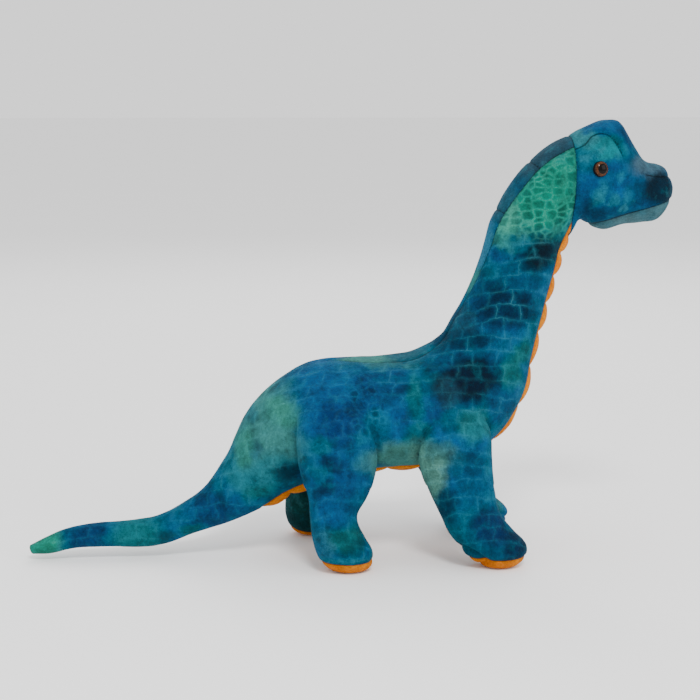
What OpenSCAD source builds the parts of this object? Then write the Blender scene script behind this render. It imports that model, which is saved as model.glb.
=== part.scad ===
// Stuffed long-necked dinosaur that stands on four legs.
// Millimetres. +X is the way it faces, +Y its left, +Z up. The origin is on the floor,
// in the plane of symmetry, half way between the tail's tip and the snout.

/* [Whole toy] */
// Length from the tail's tip to the snout
toy_length = 468; // [390:1:562]
// Height from the floor to the crown
toy_height = 319; // [266:1:383]
// Width over the feet
toy_width = 139; // [116:1:167]

/* [Covers] */
// Thickness of the pile fabric with its seam allowance
skin = 2; // [1.5:0.1:2.4]
// Space left between a cover and the stuffing, so that their facets stay clear
loft_gap = 0.6; // [0.5:0.1:1]
// Space between two covers along a seam
seam_gap = 0.3; // [0.2:0.1:0.5]

/* [Joints] */
// Clearance between two parts that turn against each other
turn_gap = 0.9; // [0.7:0.1:1.2]
// Thickness of the trunk between a left and a right leg
trunk_core = 50; // [42:1:60]
// Swing of a leg to either side
leg_swing = 10; // [6:1:12]
// Radius of a thigh's round top
thigh_r = 31; // [27:0.5:37]
// Radius of a shoulder's round top
shoulder_r = 27.5; // [24:0.5:33]

/* [Eyes] */
// Diameter of an eye
eye_d = 12; // [10:0.5:13]
// Height of an eye's dome
eye_h = 4.5; // [3.5:0.1:5.5]
// Diameter of an eye's shank
shank_d = 4; // [3:0.1:5]
// Length of an eye's shank
shank_l = 5.5; // [5:0.1:6.5]
// Diameter of the washer that locks an eye
washer_d = 9; // [8:0.5:10]
// Thickness of that washer
washer_h = 1.6; // [1.2:0.1:2]

/* [Hidden] */

// The toy that the lists below describe is this long, high and wide.
scale_x = toy_length / 468;
scale_y = toy_width / 139;
scale_z = toy_height / 319;

// Cross-sections from the tail's tip to the snout:
// [x, z, heading, half width, reach to the back, reach to the belly, back seam, belly seam].
// The heading is the slope of the spine in degrees. A seam is an angle around the section,
// from the middle of the back or of the belly.
SPINE = [
    [-233,   6,   20,  3,    3,    3,    40, 20],
    [-223,   8,   25,  6,    6,    6,    40, 20],
    [-207,  13,   14,  7.5,  7.5,  7.5,  40, 20],
    [-191,  15.5,  6,  8.5,  8.5,  8.5,  40, 20],
    [-174,  16,    1,  9,    9,    9,    40, 20],
    [-158,  16,    4, 10,   10,   10,    40, 20],
    [-142,  18,   15, 11,   10.5, 10.5,  40, 20],
    [-121,  25.5, 27, 12.5, 11.5, 11.5,  24, 20],
    [ -99,  36,   37, 16,   15.5, 15.5,  22, 12],
    [ -75,  55,   46, 23,   24,   24,    18, 30],
    [ -48,  86,   40, 38,   36,   42,    14, 33],
    [ -24,  98,   14, 47,   44,   44,    12, 31],
    [   0, 103,    2, 51,   42,   42.5,  12, 31],
    [  25, 105,    2, 51,   41,   42.5,  17, 31],
    [  53, 108,   14, 50,   42,   43.5,  18, 31],
    [  83, 121,   32, 44,   41.5, 43,    15, 28],
    [  96, 136,   48, 36,   37.5, 38,    14, 29],
    [ 105, 162,   66, 29,   32,   32.5,  14, 30],
    [ 114, 188,   72, 26,   29,   30.5,  16, 31],
    [ 123, 216,   72, 24,   27,   29,    23, 33],
    [ 127, 234,   66, 23.5, 26.5, 29,    30, 34],
    [ 134, 250,   55, 23.5, 26.5, 29.5,  36, 34],
    [ 148.5, 271, 38, 23.5, 26,   26,    42, 32],
    [ 163, 279,    8, 25,   29.5, 29.5,  42, 34],
    [ 174, 279,    4, 27.5, 37,   37.5,  42, 36],
    [ 186, 279,    0, 26.5, 40,   40,    42, 40],
    [ 198, 278,   -8, 24,   37,   37,    44, 44],
    [ 208, 270,  -12, 20.5, 27,   27,    48, 48],
    [ 216, 265.5, -5, 18,   21.5, 21.5,  50, 50],
    [ 225, 265,    0, 16,   19,   19,    50, 50],
    [ 231, 267,    0, 11.5, 13,   13,    50, 50],
    [ 234, 266.5,  0,  5,    5,    5,    50, 50]];

// Parts of the spine, as the first and last of their sections.
TAIL_SPAN = [0, 9];
TORSO_SPAN = [7, 19];
NECK_SPAN = [17, 25];
HEAD_SPAN = [21, 31];

// Joints in the plane of symmetry: [x, z, heading, radius of the round end]. The heading
// parts what lies ahead of the joint from what lies behind it.
TAIL_JOINT = [-88, 45, 0, 21.5];
NECK_JOINT = [105, 162, 68, 34];
HEAD_JOINT = [139.5, 272, 40, 40];

// Cross-sections of a leg from the sole to its top: [z, x, y, half length, half width].
HIND_LEG = [
    [  7.5, -8,    50,   19,   17],
    [ 14,   -9.5,  50,   21,   19],
    [ 22,  -12.5,  49.5, 20,   18.5],
    [ 41,  -17.5,  48,   17.5, 17],
    [ 53,  -15.5,  46.5, 20.5, 18],
    [ 67,  -15,    44,   25,   20],
    [ 88,  -15,    41,   28.5, 21],
    [102,  -15,    39,   29,   20.5],
    [118,  -15,    34,   29,   18],
    [131,  -15,    29,   29,   13]];
FORE_LEG = [
    [  7.5, 100,  50,   20.5, 17],
    [ 15,   98,   50,   23.5, 19],
    [ 26,   90,   49.5, 22,   18.5],
    [ 38,   82.3, 48,   20.4, 17],
    [ 55,   75.5, 46,   22.4, 18],
    [ 77,   70.5, 43,   25.2, 19.5],
    [100,   68,   39,   26,   20],
    [116,   68,   34,   26,   17],
    [128,   68,   29,   26,   12]];
// A leg's hinge: [x, z].
HIP = [-15, 100];
SHOULDER = [68, 100];
// The lists' legs have round tops of these radii.
HIND_TOP = 31;
FORE_TOP = 27.5;
// Places of a leg's sections among its panels: the inner panel ends below the trunk.
INNER_TOP = 4;
// How far the left foot stands from the right one, along X.
HIND_STRIDE = -17;
FORE_STRIDE = 7;

// A sole from the floor up: [z, share of the foot's lowest section].
SOLE = [[0, 0.5], [1, 0.72], [3.5, 0.91], [7, 0.98]];

// Middle of an eye on the head's side, and how far it looks forward and up.
EYE_AT = [177.5, 27, 284.5];
EYE_FORWARD = 14;
EYE_UP = 6;

// Largest share of a thin section's half width that the stuffing's or a cover's inner
// face may lie inside it.
STUFFING_SHARE = 0.6;
COVER_SHARE = 0.5;
// An eye's dimple in the cover: its depth, the room around the dome and above it, and the
// room around the shank.
DIMPLE = 0.3;
DOME_ROOM = 0.6;
DOME_HEADROOM = 3;
SHANK_ROOM = 0.4;
// Room around a washer in the stuffing, and the difference between its hole and the shank.
WASHER_ROOM = 1;
WASHER_PLAY = 0.1;
// Degrees that a leg's room opens past its swing.
SWING_ROOM = 1;
// How far below the cover's inner face an eye's washer sits, because that face curves.
WASHER_DEPTH = 1.4;
// Sides around a closed ring of stuffing.
RING = 32;
// Degrees that one facet of a cover spans.
FACET = 12;
// Larger than any distance across the toy.
FAR = 400;
// Longer than the neck behind either of its joints, and short of the trunk's far end.
REACH_BACK = FAR / 3;
$fn = 64;

// ---- cross-sections ----

function stretch(deg, along, across) =
    sqrt(pow(along * cos(deg), 2) + pow(across * sin(deg), 2));

// A section of the spine at the toy's own size.
function sized(s) = [
    s[0] * scale_x,
    s[1] * scale_z,
    atan2(scale_z * sin(s[2]), scale_x * cos(s[2])),
    s[3] * scale_y,
    s[4] * stretch(s[2], scale_z, scale_x),
    s[5] * stretch(s[2], scale_z, scale_x),
    s[6],
    s[7]];

function spine(span) = [for (i = [span[0] : span[1]]) sized(SPINE[i])];

// The point of a section at an angle from the middle of the back, towards the left side.
function on_section(s, deg, inset) =
    let (reach = ((cos(deg) >= 0 ? s[4] : s[5]) - inset) * cos(deg))
    [s[0] - reach * sin(s[2]), (s[3] - inset) * sin(deg), s[1] + reach * cos(s[2])];

// A leg's section at the toy's own size, moved by its share of the stride, and as thick
// as its round top asks.
function leg_section(s, hinge, stride) =
    let (thickness = hinge == HIP ? thigh_r / HIND_TOP : shoulder_r / FORE_TOP)
    [s[0] * scale_z,
     (s[1] + stride * max(0, 1 - s[0] / hinge[1])) * scale_x,
     s[2] * scale_y,
     s[3] * thickness * scale_x,
     s[4] * scale_y];

function leg_sections(leg, hinge, stride, last) =
    [for (i = [0 : last]) leg_section(leg[i], hinge, stride)];

// The point of a leg's section at an angle from straight ahead, towards the outside.
function on_leg(s, deg, inset) =
    [s[1] + (s[3] - inset) * cos(deg), s[2] + (s[4] - inset) * sin(deg), s[0]];

// ---- solids from rings of points ----

// Triangles of the quad between two rows of points.
function quad(a, b, c, d) = [[a, b, c], [a, c, d]];

// A closed solid through rings that all have the same number of points.
module stuffing(rings) {
    n = len(rings[0]);
    m = len(rings);
    sides = [for (i = [0 : m - 2], k = [0 : n - 1])
        each quad(i * n + k, (i + 1) * n + k, (i + 1) * n + (k + 1) % n, i * n + (k + 1) % n)];
    first = [for (k = [0 : n - 1]) k];
    last = [for (k = [n - 1 : -1 : 0]) (m - 1) * n + k];
    polyhedron([for (ring = rings) each ring], concat([first, last], sides));
}

// A curved sheet between two rows of strips of points, the outside and the inside.
module cover(outside, inside) {
    n = len(outside[0]);
    m = len(outside);
    half = m * n;
    skins = [for (i = [0 : m - 2], k = [0 : n - 2])
        each concat(
            quad(i * n + k, (i + 1) * n + k, (i + 1) * n + k + 1, i * n + k + 1),
            quad(half + i * n + k + 1, half + (i + 1) * n + k + 1,
                 half + (i + 1) * n + k, half + i * n + k))];
    edges = [for (i = [0 : m - 2])
        each concat(
            quad(i * n, half + i * n, half + (i + 1) * n, (i + 1) * n),
            quad((i + 1) * n - 1, (i + 2) * n - 1, half + (i + 2) * n - 1, half + (i + 1) * n - 1))];
    ends = [for (k = [0 : n - 2])
        each concat(
            quad(k, k + 1, half + k + 1, half + k),
            quad((m - 1) * n + k, half + (m - 1) * n + k,
                 half + (m - 1) * n + k + 1, (m - 1) * n + k + 1))];
    points = [for (strips = [outside, inside], strip = strips) each strip];
    polyhedron(points, concat(skins, edges, ends));
}

// ---- pieces along the spine ----

module spine_stuffing(span) {
    inset = skin + loft_gap;
    stuffing([for (s = spine(span))
        [for (k = [0 : RING - 1]) on_section(s, k * 360 / RING, min(inset, s[3] * STUFFING_SHARE))]]);
}

// A cover between two seams. Each seam is [angle at which the list's seam counts from,
// which of the section's seams it is, and to which side], or [angle, 0, 0] with no seam.
function seam_at(s, seam) = seam[0] + seam[2] * (seam[1] == 0 ? 0 : s[seam[1]]);

module spine_cover(span, from, to) {
    sections = spine(span);
    widest = max([for (s = sections) seam_at(s, to) - seam_at(s, from)]);
    steps = ceil(widest / FACET);
    strips = [for (inset = [0, skin])
        [for (s = sections)
            let (gap = seam_gap / 2 / s[3] * 180 / PI,
                 low = seam_at(s, from) + gap,
                 high = seam_at(s, to) - gap)
            [for (k = [0 : steps]) on_section(s, low + (high - low) * k / steps,
                                              min(inset, s[3] * COVER_SHARE))]]];
    cover(strips[0], strips[1]);
}

BACK = 6;
BELLY = 7;
module back_cover(span) { spine_cover(span, [0, BACK, -1], [0, BACK, 1]); }
module belly_cover(span) { spine_cover(span, [180, BELLY, -1], [180, BELLY, 1]); }
module left_cover(span) { spine_cover(span, [0, BACK, 1], [180, BELLY, -1]); }
module right_cover(span) { spine_cover(span, [180, BELLY, 1], [360, BACK, -1]); }

// ---- joints ----

// What lies ahead of a joint that bends up and down, outside its ball-shaped end.
module ahead(joint, r) {
    translate([joint[0] * scale_x, 0, joint[1] * scale_z])
    rotate([0, -joint[2], 0])
    difference() {
        translate([0, -FAR / 2, -FAR / 2])
        cube([FAR, FAR, FAR]);
        sphere(r);
    }
}

// What lies behind such a joint, with its ball-shaped end.
module behind(joint, r) {
    translate([joint[0] * scale_x, 0, joint[1] * scale_z])
    rotate([0, -joint[2], 0])
    union() {
        translate([-REACH_BACK, -FAR / 2, -FAR / 2])
        cube([REACH_BACK, FAR, FAR]);
        sphere(r);
    }
}

// The tail turns about an upright axis. What lies behind its joint, outside the round end:
module tail_side(r) {
    translate([TAIL_JOINT[0] * scale_x, 0, 0])
    difference() {
        translate([-FAR, -FAR / 2, -FAR / 2])
        cube([FAR, FAR, FAR]);
        cylinder(r = r, h = 2 * FAR, center = true);
    }
}

// And what lies ahead of it, with the round end.
module trunk_side(r) {
    translate([TAIL_JOINT[0] * scale_x, 0, 0])
    union() {
        translate([0, -FAR / 2, -FAR / 2])
        cube([FAR, FAR, FAR]);
        cylinder(r = r, h = 2 * FAR, center = true);
    }
}

neck_r = NECK_JOINT[3] * stretch(NECK_JOINT[2], scale_z, scale_x);
head_r = HEAD_JOINT[3] * max(scale_x, scale_z);
tail_r = TAIL_JOINT[3] * scale_y;
hip_r = thigh_r * scale_x;
arm_r = shoulder_r * scale_x;

// The room in which a leg turns, in the trunk's side: its round top and the way down from it.
module leg_room(hinge, r, side) {
    reach = trunk_core / 2 * scale_y;
    wide = r + turn_gap;
    translate([hinge[0] * scale_x, side * reach, hinge[1] * scale_z])
    rotate([90, 0, side > 0 ? 180 : 0])
    linear_extrude(FAR / 2)
    union() {
        circle(wide);
        for (turn = [-leg_swing - SWING_ROOM, 0, leg_swing + SWING_ROOM])
        rotate(turn)
        translate([-wide, -FAR / 2])
        square([2 * wide, FAR / 2]);
    }
}

module leg_rooms() {
    for (side = [-1, 1]) {
        leg_room(HIP, hip_r, side);
        leg_room(SHOULDER, arm_r, side);
    }
}

// The trunk's pieces end at the tail's and the neck's joints, and give way to the legs.
module trunk_ends() {
    difference() {
        children();
        ahead(NECK_JOINT, neck_r);
        tail_side(tail_r);
    }
}

module neck_ends() {
    difference() {
        children();
        behind(NECK_JOINT, neck_r + turn_gap);
        ahead(HEAD_JOINT, head_r);
    }
}

module head_end() {
    difference() {
        children();
        behind(HEAD_JOINT, head_r + turn_gap);
    }
}

module tail_end() {
    difference() {
        children();
        trunk_side(tail_r + turn_gap);
    }
}

// ---- torso ----

module torso_filling() {
    color("whitesmoke")
    difference() {
        trunk_ends()
        spine_stuffing(TORSO_SPAN);
        leg_rooms();
    }
}

module torso_panel_right() {
    color("steelblue")
    difference() {
        trunk_ends()
        right_cover(TORSO_SPAN);
        leg_room(HIP, hip_r, -1);
        leg_room(SHOULDER, arm_r, -1);
    }
}

module torso_panel_left() {
    color("steelblue")
    difference() {
        trunk_ends()
        left_cover(TORSO_SPAN);
        leg_room(HIP, hip_r, 1);
        leg_room(SHOULDER, arm_r, 1);
    }
}

module torso_back_strip() {
    color("slategray")
    trunk_ends()
    back_cover(TORSO_SPAN);
}

module belly_strip() {
    color("darkorange")
    trunk_ends()
    belly_cover(TORSO_SPAN);
}

// ---- neck ----

module neck_filling() {
    color("whitesmoke")
    neck_ends()
    spine_stuffing(NECK_SPAN);
}

module neck_panel_right() {
    color("steelblue")
    neck_ends()
    right_cover(NECK_SPAN);
}

module neck_panel_left() {
    color("steelblue")
    neck_ends()
    left_cover(NECK_SPAN);
}

module neck_back_strip() {
    color("slategray")
    neck_ends()
    back_cover(NECK_SPAN);
}

module throat_strip() {
    color("darkorange")
    neck_ends()
    belly_cover(NECK_SPAN);
}

// ---- head and eyes ----

// Puts its children at an eye, with +Z looking out of the head.
module at_eye(side) {
    translate([EYE_AT[0] * scale_x, side * EYE_AT[1] * scale_y, EYE_AT[2] * scale_z])
    rotate([0, 0, side * (90 - EYE_FORWARD)])
    rotate([0, 90 - EYE_UP, 0])
    children();
}

// The dimple that an eye sits in, and the hole for its shank.
module eye_seat(side) {
    at_eye(side)
    union() {
        translate([0, 0, -DIMPLE])
        cylinder(d = eye_d + DOME_ROOM, h = eye_h + DOME_HEADROOM);
        cylinder(d = shank_d + SHANK_ROOM, h = 4 * shank_l, center = true);
    }
}

module eye_pocket(side) {
    at_eye(side)
    translate([0, 0, -max(shank_l, skin + WASHER_DEPTH + washer_h) - WASHER_ROOM / 2])
    cylinder(d = washer_d + WASHER_ROOM, h = 2 * shank_l);
}

module head_filling() {
    color("whitesmoke")
    difference() {
        head_end()
        spine_stuffing(HEAD_SPAN);
        eye_pocket(-1);
        eye_pocket(1);
    }
}

module head_side_right() {
    color("steelblue")
    difference() {
        head_end()
        right_cover(HEAD_SPAN);
        eye_seat(-1);
    }
}

module head_side_left() {
    color("steelblue")
    difference() {
        head_end()
        left_cover(HEAD_SPAN);
        eye_seat(1);
    }
}

module crown_gusset() {
    color("steelblue")
    head_end()
    back_cover(HEAD_SPAN);
}

module chin_panel() {
    color("cadetblue")
    head_end()
    belly_cover(HEAD_SPAN);
}

// A domed plastic eye on a shank. The dome's sphere passes through its rim and its top.
module eye(side) {
    rim = eye_d / 2;
    ball = (rim * rim + eye_h * eye_h) / (2 * eye_h);
    color("saddlebrown")
    at_eye(side)
    union() {
        intersection() {
            translate([0, 0, eye_h - ball])
            sphere(ball);
            cylinder(r = rim, h = eye_h + 1);
        }
        translate([0, 0, -shank_l])
        cylinder(d = shank_d, h = shank_l + 1);
    }
}

module eye_washer(side) {
    color("white")
    at_eye(side)
    translate([0, 0, -skin - WASHER_DEPTH - washer_h])
    difference() {
        cylinder(d = washer_d, h = washer_h);
        cylinder(d = shank_d + WASHER_PLAY, h = 4 * washer_h, center = true);
    }
}

module eye_right() { eye(-1); }
module eye_left() { eye(1); }
module eye_washer_right() { eye_washer(-1); }
module eye_washer_left() { eye_washer(1); }

// ---- tail ----

module tail_filling() {
    color("whitesmoke")
    tail_end()
    spine_stuffing(TAIL_SPAN);
}

module tail_panel_right() {
    color("darkcyan")
    tail_end()
    spine_cover(TAIL_SPAN, [180, 0, 0], [360, 0, 0]);
}

module tail_panel_left() {
    color("darkcyan")
    tail_end()
    spine_cover(TAIL_SPAN, [0, 0, 0], [180, 0, 0]);
}

// ---- legs, drawn on the left and mirrored to the right ----

// A leg's outline seen from the side: its round top, and straight down from it.
module leg_limits(hinge, r) {
    translate([hinge[0] * scale_x, (trunk_core / 2 + turn_gap) * scale_y, hinge[1] * scale_z])
    rotate([90, 0, 180])
    linear_extrude(FAR / 2)
    union() {
        circle(r);
        translate([-FAR / 4, -FAR / 2])
        square([FAR / 2, FAR / 2]);
    }
}

module leg_filling(leg, hinge, r, stride) {
    inset = skin + loft_gap;
    intersection() {
        stuffing([for (s = leg_sections(leg, hinge, stride, len(leg) - 1))
            [for (k = [0 : RING - 1]) on_leg(s, -k * 360 / RING, inset)]]);
        leg_limits(hinge, r);
    }
}

// One side of a leg's cover, over the half circle that starts at an angle.
module leg_cover(leg, hinge, r, stride, start, last) {
    steps = 180 / FACET;
    strips = [for (inset = [0, skin])
        [for (s = leg_sections(leg, hinge, stride, last))
            let (gap = seam_gap / 2 / s[4] * 180 / PI)
            [for (k = [0 : steps])
                on_leg(s, start + 180 - gap - (180 - 2 * gap) * k / steps, inset)]]];
    intersection() {
        cover(strips[0], strips[1]);
        leg_limits(hinge, r);
    }
}

// The sole is a shallow rounded pad with a flat underside.
module sole(leg, hinge, stride) {
    foot = leg_section(leg[0], hinge, stride);
    stuffing([for (row = SOLE)
        [for (k = [0 : RING - 1])
            let (turn = -k * 360 / RING)
            [foot[1] + foot[3] * row[1] * cos(turn),
             foot[2] + foot[4] * row[1] * sin(turn),
             row[0] * scale_z]]]);
}

module hind_leg_filling_right() {
    color("whitesmoke")
    mirror([0, 1, 0])
    leg_filling(HIND_LEG, HIP, hip_r, 0);
}

module hind_leg_outer_right() {
    color("royalblue")
    mirror([0, 1, 0])
    leg_cover(HIND_LEG, HIP, hip_r, 0, 0, len(HIND_LEG) - 1);
}

module hind_leg_inner_right() {
    color("darkslateblue")
    mirror([0, 1, 0])
    leg_cover(HIND_LEG, HIP, hip_r, 0, 180, INNER_TOP);
}

module hind_sole_right() {
    color("darkorange")
    mirror([0, 1, 0])
    sole(HIND_LEG, HIP, 0);
}

module hind_leg_filling_left() {
    color("whitesmoke")
    leg_filling(HIND_LEG, HIP, hip_r, HIND_STRIDE);
}

module hind_leg_outer_left() {
    color("royalblue")
    leg_cover(HIND_LEG, HIP, hip_r, HIND_STRIDE, 0, len(HIND_LEG) - 1);
}

module hind_leg_inner_left() {
    color("darkslateblue")
    leg_cover(HIND_LEG, HIP, hip_r, HIND_STRIDE, 180, INNER_TOP);
}

module hind_sole_left() {
    color("darkorange")
    sole(HIND_LEG, HIP, HIND_STRIDE);
}

module fore_leg_filling_right() {
    color("whitesmoke")
    mirror([0, 1, 0])
    leg_filling(FORE_LEG, SHOULDER, arm_r, 0);
}

module fore_leg_outer_right() {
    color("royalblue")
    mirror([0, 1, 0])
    leg_cover(FORE_LEG, SHOULDER, arm_r, 0, 0, len(FORE_LEG) - 1);
}

module fore_leg_inner_right() {
    color("darkslateblue")
    mirror([0, 1, 0])
    leg_cover(FORE_LEG, SHOULDER, arm_r, 0, 180, INNER_TOP);
}

module fore_sole_right() {
    color("darkorange")
    mirror([0, 1, 0])
    sole(FORE_LEG, SHOULDER, 0);
}

module fore_leg_filling_left() {
    color("whitesmoke")
    leg_filling(FORE_LEG, SHOULDER, arm_r, FORE_STRIDE);
}

module fore_leg_outer_left() {
    color("royalblue")
    leg_cover(FORE_LEG, SHOULDER, arm_r, FORE_STRIDE, 0, len(FORE_LEG) - 1);
}

module fore_leg_inner_left() {
    color("darkslateblue")
    leg_cover(FORE_LEG, SHOULDER, arm_r, FORE_STRIDE, 180, INNER_TOP);
}

module fore_sole_left() {
    color("darkorange")
    sole(FORE_LEG, SHOULDER, FORE_STRIDE);
}

torso_filling();
torso_panel_right();
torso_panel_left();
torso_back_strip();
belly_strip();
neck_filling();
neck_panel_right();
neck_panel_left();
neck_back_strip();
throat_strip();
head_filling();
head_side_right();
head_side_left();
crown_gusset();
chin_panel();
eye_right();
eye_left();
eye_washer_right();
eye_washer_left();
tail_filling();
tail_panel_right();
tail_panel_left();
hind_leg_filling_right();
hind_leg_outer_right();
hind_leg_inner_right();
hind_sole_right();
hind_leg_filling_left();
hind_leg_outer_left();
hind_leg_inner_left();
hind_sole_left();
fore_leg_filling_right();
fore_leg_outer_right();
fore_leg_inner_right();
fore_sole_right();
fore_leg_filling_left();
fore_leg_outer_left();
fore_leg_inner_left();
fore_sole_left();
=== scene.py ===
"""Stuffed long-necked dinosaur in printed pile fabric, standing on four legs."""
import math

import bmesh
import bpy
import numpy as np
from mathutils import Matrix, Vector, noise


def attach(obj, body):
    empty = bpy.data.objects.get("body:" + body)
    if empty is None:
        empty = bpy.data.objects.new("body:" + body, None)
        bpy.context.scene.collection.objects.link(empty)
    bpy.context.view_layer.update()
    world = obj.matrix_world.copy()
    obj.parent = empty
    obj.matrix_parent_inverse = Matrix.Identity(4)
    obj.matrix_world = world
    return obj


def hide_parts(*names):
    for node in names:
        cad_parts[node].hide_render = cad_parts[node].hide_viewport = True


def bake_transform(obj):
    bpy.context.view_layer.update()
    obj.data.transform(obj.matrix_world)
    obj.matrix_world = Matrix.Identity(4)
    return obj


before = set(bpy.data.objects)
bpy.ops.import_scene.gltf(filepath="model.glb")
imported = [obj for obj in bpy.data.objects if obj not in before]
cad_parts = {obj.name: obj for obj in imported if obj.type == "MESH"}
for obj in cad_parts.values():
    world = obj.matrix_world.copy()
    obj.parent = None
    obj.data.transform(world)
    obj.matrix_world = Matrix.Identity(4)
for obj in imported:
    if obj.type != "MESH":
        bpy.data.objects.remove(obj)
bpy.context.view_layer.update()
MM = 0.001

# ---------------------------------------------------------------- shapes, in millimetres

# Cross-sections from the tail's tip to the snout: x, z, heading in degrees, half width,
# reach to the back, reach to the belly, and the back and belly seams as angles from the
# middle of the back and of the belly.
SPINE = [
    [-235.5, 7.4, 20, 3.4, 3.4, 3.4, -20, -20],
    [-224, 10, 25, 6, 6, 6, -20, -20],
    [-208, 15, 14, 7.5, 7.5, 7.5, -20, -20],
    [-191, 17.3, 6, 8.5, 8.5, 8.5, -20, -20],
    [-174, 17.8, 1, 9, 9, 9, -20, -20],
    [-158, 17.8, 4, 10, 10, 10, -20, -20],
    [-142, 19.5, 15, 11, 10.5, 10.5, -20, -20],
    [-121, 27.8, 27, 12.5, 11.6, 11.2, -20, -20],
    [-99, 38, 37, 16, 15.8, 15.2, -20, -22],
    [-75, 56, 46, 23, 24.4, 24.8, -20, 36],
    [-48, 86, 40, 38, 35.5, 42.5, -16, 33],
    [-24, 98, 14, 47, 43.6, 44.5, -8, 31],
    [0, 103, 2, 51, 42.3, 42.5, 10, 31],
    [25, 105, 2, 51, 41, 42.5, 17, 31],
    [53, 108, 14, 50, 41.5, 43.5, 18, 31],
    [83, 121, 32, 44, 42.4, 44, 14, 26],
    [96, 136, 48, 36, 39, 39.4, 11, 27],
    [105, 162, 66, 29, 32.8, 33.4, 10, 28],
    [114, 188, 72, 26, 29.2, 31, 13, 30],
    [123, 216, 72, 24, 27.6, 29.6, 23, 32],
    [127, 234, 66, 23.5, 27.4, 30.4, 30, 34],
    [134, 250, 55, 23.5, 26.4, 31.4, 36, 35],
    [148.5, 271, 38, 23.5, 24.7, 31.5, 40, 35],
    [163, 279, 8, 25, 27.6, 33.5, 42, 34],
    [174, 279, 4, 27.5, 33.6, 39, 42, 36],
    [186, 279, 0, 26.5, 38.0, 41, 42, 40],
    [192.5, 278.8, -4, 25.4, 37.0, 40.2, 43, 42],
    [198.5, 278, -8, 23.8, 26, 38.6, 44, 44],
    [208, 270, -12, 20.5, 19.6, 28.5, 48, 48],
    [216, 265.5, -5, 18, 20.5, 22.5, 50, 50],
    [225, 265, 0, 16.5, 19.5, 20, 50, 50],
    [231, 266, 0, 13, 15, 14.5, 50, 50],
    [235, 266, 0, 6, 7, 7, 50, 50]]

# Cross-sections of a leg from the floor to its top inside the trunk:
# z, x, y, half length and half width.
HIND_LEG = [
    [0, -6.5, 50, 7.5, 6], [0.8, -6.7, 50, 11.3, 9.5], [2.6, -7.2, 50, 15, 12.8],
    [5.5, -8, 50, 17.8, 15.6], [9, -9, 50, 19.6, 17.6], [14, -10.5, 50, 20.6, 19],
    [22, -13.8, 49.5, 19.3, 18.5], [41, -17.9, 48, 17.2, 17], [53, -15, 46.5, 21.2, 18],
    [67, -14.4, 44, 25.8, 20], [88, -14.7, 42, 29, 21.5], [102, -15, 40, 29, 21],
    [118, -15, 34, 26, 17], [128, -15, 29, 20, 12], [134, -15, 26, 11, 6]]
FORE_LEG = [
    [0, 101, 50, 7.4, 6], [0.8, 101, 50, 11.2, 9.5], [2.6, 100.6, 50, 15.6, 12.8],
    [5.5, 100, 50, 19.3, 15.6], [9, 99, 50, 22.2, 17.6], [15, 96.7, 50, 24.7, 19],
    [26, 88, 49.5, 24, 18.5], [38, 80.6, 48, 22, 17], [55, 74.5, 46, 23.6, 18],
    [77, 69.7, 43, 26.4, 19.5], [100, 68.5, 38, 26.5, 19], [114, 68, 32, 22, 15],
    [122, 68, 28, 16, 11], [128, 68, 25, 8, 5]]
HIP_Z = 100
# The left feet stand behind or ahead of the right ones.
LEGS = {
    "hind_right": (HIND_LEG, -1, 0), "hind_left": (HIND_LEG, 1, -17),
    "fore_right": (FORE_LEG, -1, 0), "fore_left": (FORE_LEG, 1, 7)}
SOLE_TOP = 8

# Seams on the side of the head: x, z.
BROW_SEAM = [
    [150, 296], [159.7, 297.3], [165.5, 300.2], [171.3, 306], [177.1, 308.2], [183.6, 306.8],
    [188, 302.4], [191.6, 296.5], [195, 290], [201, 283.4], [208.5, 279.4], [219.5, 277],
    [229, 276.5], [240, 276.5]]
CHIN_SEAM = [
    [150, 238], [165, 243], [172, 241.6], [180, 243.6], [193.7, 247.4], [208.6, 252],
    [223, 256], [231, 258.5], [240, 261]]

# Planes in which one piece ends and the next begins: x, z, heading.
NECK_START = [93.8, 134.2, 68]
NECK_MIDDLE = [121.9, 203.7, 70]
HEAD_START = [158.8, 279, 1]
TAIL_START_X = -70
# Where the back strip's lengths are joined.
STRIP_JOINS = [[131, 286, 47], [107, 252, 60]]

# The eyes: the middle of the left one's rim, how many degrees it looks ahead and up, and
# its dome's radius and height.
EYE_AT = [175.6, 26.6, 282.7]
EYE_FORWARD = 14
EYE_UP = 6
EYE_R = 5.6
EYE_H = 3.5
# The outline behind the dome: distance from the axis, and height above the rim.
EYE_BACK = [
    (EYE_R, 0.0), (EYE_R * 1.04, -0.5), (EYE_R * 0.98, -1.0), (2.2, -1.2), (2.0, -6.0),
    (0.0, -6.3)]
EYE_SIDES = 48

# Heights on a leg. Over the first it grows smoothly out of the trunk, over the second the
# crease round its top is pulled in less and its painted shade fades, at the third the crease
# ends, and over the fourth the leg has its outer cover only.
TOP_GROWS = 103
FOLD_FADES = 104
CREASE_ENDS = 114
INNER_TOP = 112
# The inner and outer covers of a foot are sewn together below this height.
LEG_SEAM_TOP = 60
# The chin panel's back edge, and the x round which the brow's seam lies flush.
CHIN_BACK = 166
BROW_FLUSH = 203
# The brow's roll reaches from the first x to the second and is fullest at the third. Its
# seam is pulled in most at the pinch: x, z.
BROW_ROLL = [166, 200, 186]
BROW_PINCH = [190, 298]
# Inward of the feet's middles, at FOOT_Y, a sole turns up less high, by up to SOLE_LESS.
SOLE_LESS = 4.5
FOOT_Y = 50

# Points round a tube, the skin's cell size, and the spacing of the belly's channels.
RING = 72
VOXEL = 1.15
QUILT_PITCH = 20.5
# A distance that stands for no seam nearby.
FAR = 50.0

# How deep the stitches pull the cover in, and how high it swells between them.
STITCH_DEPTH = 0.8
PILE_PUFF = 0.6
CHANNEL_SWELL = 3.2
CHANNEL_SINK = 2.0
CREASE_DEPTH = 2.2
BROW_HEIGHT = 1.0
PINCH_DEPTH = 2.3
SOCKET_DEPTH = 1.5
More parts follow.
